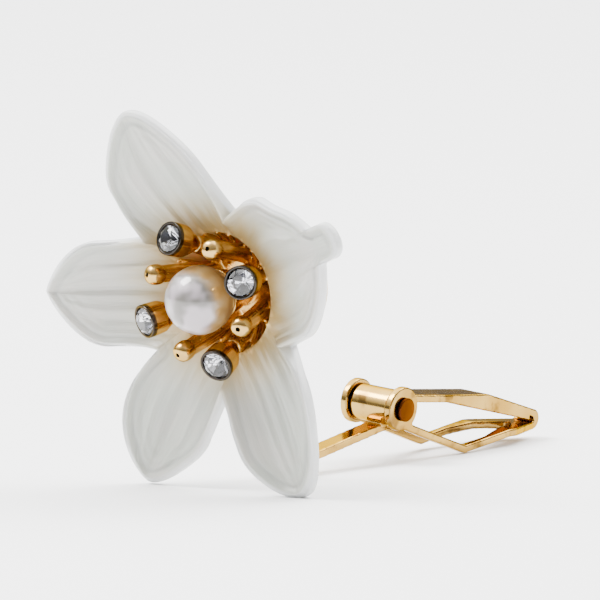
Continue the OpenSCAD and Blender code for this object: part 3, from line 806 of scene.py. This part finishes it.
def flower_mesh():
    """The flower: one closed shell round its hole, with the places that its finish reads."""
    front, places = flower_grid()
    front = evened(front)
    edge = front[-1]
    flat_edge = edge[:, [0, 2]]
    near_edge = np.stack([
        np.sqrt(((ring[:, None, [0, 2]] - flat_edge[None]) ** 2).sum(-1)).min(1) for ring in front])
    share = places["share"]
    across = places["across"]
    broad = PETAL_RIB * np.cos(math.tau * RIBS_ACROSS * across) * np.sin(np.pi * share)
    calm = np.clip(near_edge / VEIN_CALM, 0, 1) ** 2 * np.clip(share * VEIN_RISE, 0, 1)
    veins = VEIN_DEPTH * np.cos(math.tau * VEINS * across) * calm
    lines = sum(line.depth * np.exp(-((near_edge - line.place) / line.width) ** 2)
                for line in EDGE_LINES)
    lines *= np.clip(share * LINE_RISE - LINE_DELAY, 0, 1)
    thin = EDGE_THIN * (1 - np.clip(near_edge / EDGE_ROUND, 0, 1)) ** 2
    face = front.copy()
    face[:, :, 1] += broad + veins + lines + thin
    rear = front.copy()
    rear[:, :, 1] += wall_of(share) + broad / 2 - thin

    out = edge - front[-RIM_AIM]
    out[:, 1] = 0
    out /= np.linalg.norm(out, axis=1)[:, None]
    rings = list(face) + rim_rings(face[-1], rear[-1], out) + list(rear[::-1])
    points = np.concatenate(rings)
    columns = front.shape[1]
    mesh = mesh_of("flower_petals", points, ring_faces(len(rings), columns))

    def spread(values, rim_value=None):
        """A value of every point: the front's, the rim's and the back's."""
        last = values[-1] if rim_value is None else np.full(columns, rim_value)
        return np.concatenate(list(values) + [last] * RIM_ROWS + list(values[::-1]))

    radius = spread(np.sqrt(front[:, :, 0] ** 2 + front[:, :, 2] ** 2))
    in_front = np.zeros(len(points))
    in_front[:face.shape[0] * columns] = 1
    store(mesh, "along", spread(places["along"]))
    store(mesh, "across", spread(across))
    store(mesh, "petal", spread(places["petal"]))
    store(mesh, "edge_distance", spread(near_edge, 0.0))
    store(mesh, "axis_distance", radius)
    store(mesh, "front", in_front)
    rays = (points[:, 0] / radius * STREAKS_ROUND, radius * STREAKS_OUT,
            points[:, 2] / radius * STREAKS_ROUND)
    store(mesh, "rays", np.stack(rays, axis=1), kind="FLOAT_VECTOR")
    return smoothed(mesh)


dress("flower_petals", flower_mesh(), RESIN, BODY, "petal_resin", "flower")


# Stamens

SEAT_GAP = 0.1
DISH_R = 2.4
DISH_T = 0.6
DISH_ROUND = 0.2
DISH_FRONT = BELL_BACK - SEAT_GAP - DISH_T
ROOT_BACK = DISH_FRONT + DISH_T / 2
STUD_R = 1.1
PLATE_BACK = BELL_BACK + BELL_WALL + SEAT_GAP + 0.8
STUD_END = PLATE_BACK - 0.1 - SEAT_GAP
STALK_R = 0.5
STONES = 4
STONE_TURN = 26
KNOB_TURN = 72
KNOB_R = 0.6
FILAMENTS = 24
FILAMENT_R = 0.22
# How far the stalks and filaments bow outwards, and their thickness at the root and a filament's
# at its tip, as shares of their radius
CUP_BOW = 0.08
CUP_TAPER = 1.15
KNOB_BOW = 0.1
KNOB_TAPER = 1.1
FILAMENT_BOW = 0.12
FILAMENT_TAPER = 1.15
FILAMENT_TIP = 0.7
# How much deeper or flatter than drawn a filament may lie, as a share
UNLIKENESS = 0.06
# 2 makes a knob a ball, and more makes it squarer
KNOB_SQUARE = 2.6
# A knob's section has this many steps, up to this many degrees above its middle
KNOB_STEPS = 16
KNOB_OPEN = 76
# A knob's dimple: its radius, and its mouth, edge and middle as shares of KNOB_R
DIMPLE_R = 0.12
DIMPLE_MOUTH = 0.93
DIMPLE_EDGE = 0.5
DIMPLE_MIDDLE = 0.48
STONE_ROOT = Vector((DISH_R - 0.35, ROOT_BACK, 0))
STONE_FACE = Vector((3.9, -0.7, 0))
KNOB_ROOT = Vector((DISH_R - 0.5, ROOT_BACK, 0))
KNOB_PLACE = Vector((3.3, -0.1, 0))
FILAMENT_ROOT = Vector((0.7 * DISH_R, ROOT_BACK, 0))
FILAMENT_END = Vector((THROAT_R + 0.02, THROAT_BACK + 0.15, 0))
STONE_R = 0.8
CUP_WALL = 0.16
CUP_LEN = 2.0
# How far a cup's tail reaches into its stalk
CUP_TAIL = 0.25
# Where a cup is almost at its full width, as a share of its length from its mouth back, and by
# how much it is slimmer there
CUP_WAIST = 0.55
CUP_SLIM = 0.04
CUP_ROUND = 0.07
# A cup's stalk ends this far behind the cup
CUP_BEHIND = 0.1
# The band at a cup's mouth that is painted dark as shade round the stone, and the height over which
# that painted shade fades into the gold
COLLAR = 0.3
COLLAR_FADE = 0.06
POCKET_R = STONE_R + 0.03
CUP_R = POCKET_R + CUP_WALL
STONE_SUNK = 0.06
# Air under a stone's point
POCKET_AIR = 0.05
CROWN = 0.34 * STONE_R
GIRDLE = 0.08 * STONE_R
PAVILION = 0.85 * STONE_R
SEAT_R = 0.72 * PEARL_R
SEAT_FOOT = 0.6 * SEAT_R
SEAT_STEPS = 6
# Points of the seat's rim: how far outside SEAT_R, and how far in front of the hollow's edge
SEAT_RIM = [(0.14, 0.02), (0.04, 0.1)]
PEG_END = 0.3 * PEARL_R
PEG_R = 0.35
CASTING_GRID = 0.075
CASTING_SMOOTHINGS = 4
BOW_STEPS = 14


def stalk_tree():
    """Round stalks, swept along a bow and set in a ring round the flower's axis."""
    inputs = [("Count", INT, 4), ("Turn", FLOAT, 0.0), ("Start", VECTOR, None),
              ("Middle", VECTOR, None), ("End", VECTOR, None), ("Start Radius", FLOAT, 0.5),
              ("End Radius", FLOAT, 0.4), ("Sides", INT, 24), ("Unlikeness", FLOAT, 0.0),
              ("Seed", INT, 1), ("Material", MATERIAL, None)]
    tree, given, result = group_tree("GeometryNodeTree", "Ring of stalks", inputs,
                                     [("Stalks", GEOMETRY)])
    bow = add_node(tree, "GeometryNodeCurveQuadraticBezier", {
        "Resolution": BOW_STEPS, "Start": given["Start"], "Middle": given["Middle"],
        "End": given["End"]})
    share = add_node(tree, "GeometryNodeSplineParameter").outputs["Factor"]
    width = ranged(tree, share, 0.0, 1.0, given["Start Radius"], given["End Radius"], "LINEAR")
    section = add_node(tree, "GeometryNodeCurvePrimitiveCircle", {
        "Resolution": given["Sides"], "Radius": 1.0})
    stalk = add_node(tree, "GeometryNodeCurveToMesh", {
        "Curve": bow.outputs[0], "Profile Curve": section.outputs[0], "Scale": width,
        "Fill Caps": True})
    return ring_of(tree, given, result, stalk.outputs[0])


def ring_tree():
    """Copies of one piece, set in a ring round the flower's axis."""
    inputs = [("Piece", OBJECT, None), ("Count", INT, 4), ("Turn", FLOAT, 0.0),
              ("Unlikeness", FLOAT, 0.0), ("Seed", INT, 1), ("Material", MATERIAL, None)]
    tree, given, result = group_tree("GeometryNodeTree", "Ring of pieces", inputs,
                                     [("Pieces", GEOMETRY)])
    piece = add_node(tree, "GeometryNodeObjectInfo", {"Object": given["Piece"]})
    return ring_of(tree, given, result, piece.outputs["Geometry"])


def ring_of(tree, given, result, piece):
    """The rest of a ring tree: places copies of piece, realizes them and gives the material."""
    ring = add_node(tree, "GeometryNodePoints", {"Count": given["Count"]})
    index = add_node(tree, "GeometryNodeInputIndex").outputs[0]
    step = maths(tree, "DIVIDE", math.tau, given["Count"])
    angle = maths(tree, "ADD", maths(tree, "MULTIPLY", index, step), given["Turn"])
    jitter = add_node(tree, "FunctionNodeRandomValue", {
        2: maths(tree, "SUBTRACT", 1.0, given["Unlikeness"]),
        3: maths(tree, "ADD", 1.0, given["Unlikeness"]), "Seed": given["Seed"]}, data_type="FLOAT")
    turn = add_node(tree, "ShaderNodeCombineXYZ", {"Y": maths(tree, "MULTIPLY", angle, -1.0)})
    size = add_node(tree, "ShaderNodeCombineXYZ", {"X": 1.0, "Y": jitter.outputs[1], "Z": 1.0})
    copies = add_node(tree, "GeometryNodeInstanceOnPoints", {
        "Points": ring.outputs[0], "Instance": piece, "Rotation": turn.outputs[0],
        "Scale": size.outputs[0]})
    real = add_node(tree, "GeometryNodeRealizeInstances", {"Geometry": copies.outputs[0]})
    named = add_node(tree, "GeometryNodeSetMaterial", {
        "Geometry": real.outputs[0], "Material": given["Material"]})
    tree.links.new(named.outputs[0], result[0])
    return tree


STALKS = stalk_tree()
RING = ring_tree()


def grown(tree, **values):
    """The plain mesh that a geometry tree makes of these inputs, named with _ for a space."""
    holder = linked("holder", bpy.data.meshes.new("holder"))
    modifier = holder.modifiers.new("grow", "NODES")
    modifier.node_group = tree
    for item in tree.interface.items_tree:
        key = item.name.replace(" ", "_")
        if item.in_out == "INPUT" and key in values:
            modifier[item.identifier] = values[key]
    return evaluated_mesh(holder)


def ringed(mesh, count, turn, material):
    """A mesh that is drawn at the right of the flower, copied round its axis."""
    piece = linked("piece", mesh)
    made = grown(RING, Piece=piece, Count=count, Turn=math.radians(turn), Material=material)
    bpy.data.objects.remove(piece)
    return made


def stalks(count, turn, root, end, bow, root_radius, end_radius, **more):
    """Stalks of the casting, in a ring, which lean outwards between root and end by bow."""
    middle = (root + end) / 2 + Vector((2 * bow, 0, 0))
    return grown(STALKS, Count=count, Turn=turn, Start=root, Middle=middle, End=end,
                 Start_Radius=root_radius, End_Radius=end_radius, Material=CAST_GOLD, **more)


def towards(root, end):
    """Puts a piece that stands on +Z at root, pointing to end."""
    way = end - root
    return Matrix.Translation(root) @ way.to_track_quat("Z", "Y").to_matrix().to_4x4()


def backwards(mesh):
    """Lays a piece that stands on +Z so that it points back, along the flower's axis."""
    mesh.transform(Matrix.Rotation(math.radians(-90), 4, "X"))
    return mesh


# A corner is rounded in this many steps, over no more than its sides divided by CORNER_LIMIT, and
# not at all where that is less than CORNER_LEAST
CORNER_STEPS = 5
CORNER_LIMIT = 2.2
CORNER_LEAST = 1e-3


def rounded(profile, radius):
    """Rounds the corners of a profile of (radius, height), apart from those on the axis."""
    made = []
    count = len(profile)
    for k in range(count):
        here = Vector(profile[k])
        a = Vector(profile[k - 1]) - here
        b = Vector(profile[(k + 1) % count]) - here
        cut = min(radius, a.length / CORNER_LIMIT, b.length / CORNER_LIMIT)
        if here.x < ON_AXIS or cut < CORNER_LEAST:
            made.append(tuple(here))
            continue
        start, end = here + a.normalized() * cut, here + b.normalized() * cut
        for j in range(CORNER_STEPS + 1):
            t = j / CORNER_STEPS
            made.append(tuple((1 - t) ** 2 * start + 2 * t * (1 - t) * here + t * t * end))
    return made


def cup_mesh():
    """One cup, drawn on its stalk at the right of the flower."""
    reach = (STONE_FACE - STONE_ROOT).length
    floor = reach - (GIRDLE + PAVILION + STONE_SUNK + POCKET_AIR)
    profile = [(0, reach - CUP_LEN - CUP_TAIL), (STALK_R, reach - CUP_LEN),
               (CUP_R - CUP_SLIM, reach - CUP_LEN * CUP_WAIST),
               (CUP_R, reach - COLLAR - COLLAR_FADE), (CUP_R, reach - COLLAR), (CUP_R, reach),
               (POCKET_R, reach), (POCKET_R, floor), (0, floor)]
    mesh = turned("cup", rounded(profile, CUP_ROUND), steps=48)
    heights = np.array([v.co.z for v in mesh.vertices])
    # Painted shade: the band at the cup's mouth, round the stone, is marked to be dark
    store(mesh, "collar", np.clip((heights - reach + COLLAR) / COLLAR_FADE + 0.5, 0, 1))
    mesh.transform(towards(STONE_ROOT, STONE_FACE))
    return mesh


def knob_mesh():
    """One knob with its dimple, drawn on its stalk at the right of the flower."""
    reach = (KNOB_PLACE - KNOB_ROOT).length
    profile = [(0, reach - KNOB_R)]
    for k in range(1, KNOB_STEPS + 1):
        a = mix(-90, KNOB_OPEN, k / KNOB_STEPS)
        spread = abs(cos_deg(a)) ** KNOB_SQUARE + abs(sin_deg(a)) ** KNOB_SQUARE
        squared = spread ** (-1 / KNOB_SQUARE)
        profile.append((KNOB_R * squared * cos_deg(a), reach + KNOB_R * squared * sin_deg(a)))
    profile += [(DIMPLE_R, reach + DIMPLE_MOUTH * KNOB_R), (DIMPLE_R, reach + DIMPLE_EDGE * KNOB_R),
                (0, reach + DIMPLE_MIDDLE * KNOB_R)]
    mesh = turned("knob", profile, steps=32)
    # Painted shade: the knob's dimple is marked to be dark
    store(mesh, "collar", [v.co.xy.length < DIMPLE_R + 0.01 and v.co.z > reach
                           for v in mesh.vertices])
    mesh.transform(towards(KNOB_ROOT, KNOB_PLACE))
    return mesh


def rod(name, radius, rear, front, steps, rounding=0.0):
    """A round rod or disc on the flower's axis, from rear to front."""
    profile = [(0, rear), (radius, rear), (radius, front), (0, front)]
    if rounding:
        profile = rounded(profile, rounding)
    return backwards(turned(name, profile, steps))


def seat_mesh():
    """The hollow seat of the pearl."""
    radius = PEARL_R + SEAT_GAP / 2
    edge = math.sqrt(radius ** 2 - SEAT_R ** 2)
    profile = [(0, ROOT_BACK), (SEAT_FOOT, ROOT_BACK)]
    profile += [(SEAT_R + out, edge - ahead) for out, ahead in SEAT_RIM]
    for k in range(1, SEAT_STEPS + 1):
        a = math.asin(SEAT_R / radius) * (1 - k / SEAT_STEPS)
        profile.append((radius * math.sin(a), radius * math.cos(a)))
    return backwards(turned("seat", profile, steps=48))


def casting_mesh():
    """Dish, stud, seat, peg, stalks and filaments, run together as one casting."""
    cup_rear = STONE_FACE + (STONE_ROOT - STONE_FACE).normalized() * (CUP_LEN + CUP_BEHIND)
    whole = joined("casting", [
        rod("dish", DISH_R, DISH_FRONT + DISH_T, DISH_FRONT, steps=64, rounding=DISH_ROUND),
        rod("stud", STUD_R, STUD_END, ROOT_BACK, steps=40),
        seat_mesh(),
        rod("peg", PEG_R, ROOT_BACK, PEG_END, steps=24),
        stalks(STONES, math.radians(STONE_TURN), STONE_ROOT, cup_rear, CUP_BOW,
               CUP_TAPER * STALK_R, STALK_R),
        stalks(STONES, math.radians(KNOB_TURN), KNOB_ROOT, KNOB_PLACE, KNOB_BOW,
               KNOB_TAPER * STALK_R, STALK_R),
        stalks(FILAMENTS, math.pi / FILAMENTS, FILAMENT_ROOT, FILAMENT_END, FILAMENT_BOW,
               FILAMENT_TAPER * FILAMENT_R, FILAMENT_TIP * FILAMENT_R,
               Unlikeness=UNLIKENESS, Seed=7, Sides=12)])
    return remade(whole, CASTING_GRID, CASTING_SMOOTHINGS)


dress("stamen_casting", casting_mesh(), CAST_GOLD, BODY, "gold", "stamens")
dress("stone_cups", smoothed(ringed(cup_mesh(), STONES, STONE_TURN, LIGHTENED_CUP_GOLD), sharp_angle=50),
      LIGHTENED_CUP_GOLD, BODY, "gold", "stamens")
dress("stamen_knobs", smoothed(ringed(knob_mesh(), STONES, KNOB_TURN, KNOB_GOLD), sharp_angle=60),
      KNOB_GOLD, BODY, "gold", "stamens")


# Stones and pearl

# The rings of corners of a cut stone: how many, by how many steps they are turned, their radius
# as a share of STONE_R, and their height above the girdle
CornerRing = namedtuple("CornerRing", "count turn radius height")
STONE_RINGS = [
    CornerRing(8, 0.5, 0.56, CROWN),
    CornerRing(8, 0.0, 0.80, 0.62 * CROWN),
    CornerRing(16, 0.5, 1.00, 0.0),
    CornerRing(16, 0.5, 1.00, -GIRDLE),
    CornerRing(8, 0.0, 0.06, -GIRDLE - PAVILION),
]
# How dark the foiled facets are painted, going round, from 0 bright to 1 black: painted dark
# reflections in the stone
FACET_SHADES = (0.0, 0.1, 1.0, 1.0, 0.0, 0.0, 0.9, 0.0)
# A facet has foil if it faces backwards by at least this much
FOIL_TILT = 0.05


def cut_stone_mesh():
    """A round cut stone, its girdle at height 0: a table, kites, and a pointed underside."""
    work = bmesh.new()
    for ring in STONE_RINGS:
        radius = ring.radius * STONE_R
        for k in range(ring.count):
            a = math.tau * (k + ring.turn) / ring.count
            work.verts.new((radius * math.cos(a), radius * math.sin(a), ring.height))
    bmesh.ops.convex_hull(work, input=work.verts)
    bmesh.ops.dissolve_limit(work, angle_limit=math.radians(1), verts=work.verts, edges=work.edges)
    mesh = bpy.data.meshes.new("stone")
    work.to_mesh(mesh)
    work.free()
    return mesh


def lay_foil(mesh, ahead, start):
    """Gives a stone's underside its foil, with painted dark reflections in the shades of its facets
    from start on.
    """
    mesh.materials.append(FOIL)
    centre = Vector(np.mean([v.co for v in mesh.vertices], axis=0))
    shades = [0.0] * len(mesh.polygons)
    for face in mesh.polygons:
        if face.normal.dot(ahead) < -FOIL_TILT:
            face.material_index = 1
            side = face.center - centre
            turn = math.atan2(side.dot(TURN.col[2]), side.dot(TURN.col[0])) / math.tau
            shades[face.index] = FACET_SHADES[int(len(FACET_SHADES) * (turn % 1)) - start]
    store(mesh, "shade", shades, domain="FACE")


def dress_stones():
    reach = (STONE_FACE - STONE_ROOT).length
    ahead = (STONE_FACE - STONE_ROOT).normalized()
    for k in range(STONES):
        mesh = cut_stone_mesh()
        mesh.transform(Matrix.Translation((0, 0, reach - STONE_SUNK)))
        mesh.transform(towards(STONE_ROOT, STONE_FACE))
        turn = Matrix.Rotation(math.radians(-STONE_TURN - 360 * k / STONES), 4, "Y")
        mesh.transform(turn)
        dress(f"cut_stone_{k + 1}", mesh, STONE, BODY, "stone", f"crystal_{k + 1}")
        lay_foil(mesh, TURN @ turn.to_3x3() @ ahead, k)


PEARL_ROWS = 48
PEG_PLAY = 0.05


def pearl_mesh():
    """The pearl, with the hole that its peg goes into, and how far back each point lies."""
    hole = PEG_R + PEG_PLAY
    start = math.asin(hole / PEARL_R)
    profile = [(0, PEG_END - SEAT_GAP), (hole, PEG_END - SEAT_GAP)]
    for k in range(PEARL_ROWS):
        a = mix(start, math.pi, k / PEARL_ROWS)
        profile.append((PEARL_R * math.sin(a), PEARL_R * math.cos(a)))
    profile.append((0, -PEARL_R))
    mesh = backwards(turned("pearl", profile, steps=72))
    # How far back each point lies, which places the painted reflection of the gold
    store(mesh, "depth", [v.co.y / PEARL_R for v in mesh.vertices])
    return smoothed(mesh, sharp_angle=50)


dress_stones()
dress("pearl_bead", pearl_mesh(), PEARL, BODY, "pearl", "pearl")


# Clip

# Size of the grid on which a clip piece is made anew, and how often it is then smoothed
CLIP_GRID = 0.055
CLIP_SMOOTHINGS = 7


def softened(node):
    """A copy of a CAD node's mesh, in the flower's frame, with its sharp edges rounded."""
    mesh = frame["nodes"][node].data.copy()
    mesh.transform(LAY.inverted())
    return remade(mesh, CLIP_GRID, CLIP_SMOOTHINGS)


dress("clip_back", softened("clip_arm"), STRIP_GOLD, BODY, "gold", "clip_arm")
dress("clip_pin", softened("hinge_pin"), PIN_GOLD, BODY, "gold", "hinge_pin")
dress("clip_paddle", softened("clip_lever"), STRIP_GOLD, LEVER, "gold", "clip_lever")


# Floor, light and camera

FLOOR_HALF = 2.0
FLOOR_WHITE = (0.93, 0.93, 0.93, 1)
FLOOR_PALE = (0.95, 0.95, 0.95, 1)
# The camera looks from this far round to the right of the flower's front and this far above
# its level, with the middle of the picture this far to the right of the pearl
CAMERA_TURN = 38.3
CAMERA_RISE = 14.5
PICTURE_WIDTH = 34.2
PEARL_OFF_CENTRE = 5.73
LENS = 1200.0
SENSOR = 36.0
NEAREST = 0.01
FURTHEST = 10.0
# The studio round the earring: white above and behind it, dim above on the camera's side, and
# dark low down
STUDIO_WHITE = (1.0, 1.0, 1.0, 1)
STUDIO_DIM = (0.12, 0.12, 0.12, 1)
STUDIO_DARK = (0.04, 0.04, 0.04, 1)
STUDIO_LIGHT = 7.0

Softbox = namedtuple("Softbox", "name azimuth elevation distance size power")
SOFTBOXES = [
    Softbox("key", -50, 54, 0.40, 0.17, 2.9),
    Softbox("back", 150, 50, 0.50, 0.25, 1.4),
]


def lay_floor():
    corners = [(x * FLOOR_HALF, y * FLOOR_HALF, 0) for x, y in ((-1, -1), (1, -1), (1, 1), (-1, 1))]
    made, tree, shader = finish_of("Pale floor", Roughness=0.75, Specular_IOR_Level=0.2)
    place = object_place(tree)
    tone = tinted(tree, noise(tree, place, 3.0), FLOOR_WHITE, FLOOR_PALE)
    tree.links.new(tone, shader["Base Color"])
    mesh = mesh_of("floor", corners, [(0, 1, 2, 3)])
    mesh.materials.append(made)
    linked("floor", mesh)


def from_centre(azimuth, elevation):
    """Unit vector from the object; azimuth 0 is in front of it, 90 at its right."""
    flat = cos_deg(elevation)
    return Vector((sin_deg(azimuth) * flat, -cos_deg(azimuth) * flat, sin_deg(elevation)))


def set_softboxes():
    middle = (CAD_BOX[0] + CAD_BOX[1]) / 2
    for box in SOFTBOXES:
        light = bpy.data.lights.new(box.name, "AREA")
        light.shape = "SQUARE"
        light.size = box.size
        light.energy = box.power
        lamp = bpy.data.objects.new(box.name, light)
        bpy.context.scene.collection.objects.link(lamp)
        way = from_centre(box.azimuth, box.elevation)
        lamp.location = middle + way * box.distance
        lamp.rotation_euler = way.to_track_quat("Z", "Y").to_euler()


def set_world():
    world = bpy.data.worlds.new("Studio")
    bpy.context.scene.world = world
    world.use_nodes = True
    tree = world.node_tree
    background = tree.nodes["Background"]
    way = add_node(tree, "ShaderNodeTexCoord").outputs["Generated"]
    height = add_node(tree, "ShaderNodeSeparateXYZ", {0: way}).outputs[2]
    facing = add_node(tree, "ShaderNodeVectorMath", {0: way, 1: from_centre(CAMERA_TURN, 0)},
                      operation="DOT_PRODUCT").outputs["Value"]
    above = tinted(tree, ranged(tree, facing, -0.3, 0.7), STUDIO_WHITE, STUDIO_DIM)
    tone = tinted(tree, ranged(tree, height, 0.10, 0.8), STUDIO_DARK, above)
    tree.links.new(tone, background.inputs["Color"])
    background.inputs["Strength"].default_value = STUDIO_LIGHT


def set_camera():
    camera = bpy.data.cameras.new("camera")
    camera.lens = LENS
    camera.sensor_width = SENSOR
    eye = bpy.data.objects.new("camera", camera)
    bpy.context.scene.collection.objects.link(eye)
    back = TURN @ from_centre(CAMERA_TURN, CAMERA_RISE)
    right = TURN @ Vector((cos_deg(CAMERA_TURN), sin_deg(CAMERA_TURN), 0))
    up = back.cross(right)
    distance = LENS / SENSOR * PICTURE_WIDTH * MM
    place = PEARL_MIDDLE + right * PEARL_OFF_CENTRE * MM + back * distance
    eye.matrix_world = (Matrix.Translation(place)
                        @ Matrix((right, up, back)).transposed().to_4x4())
    camera.clip_start = NEAREST
    camera.clip_end = FURTHEST
    bpy.context.scene.camera = eye


lay_floor()
set_softboxes()
set_world()
set_camera()
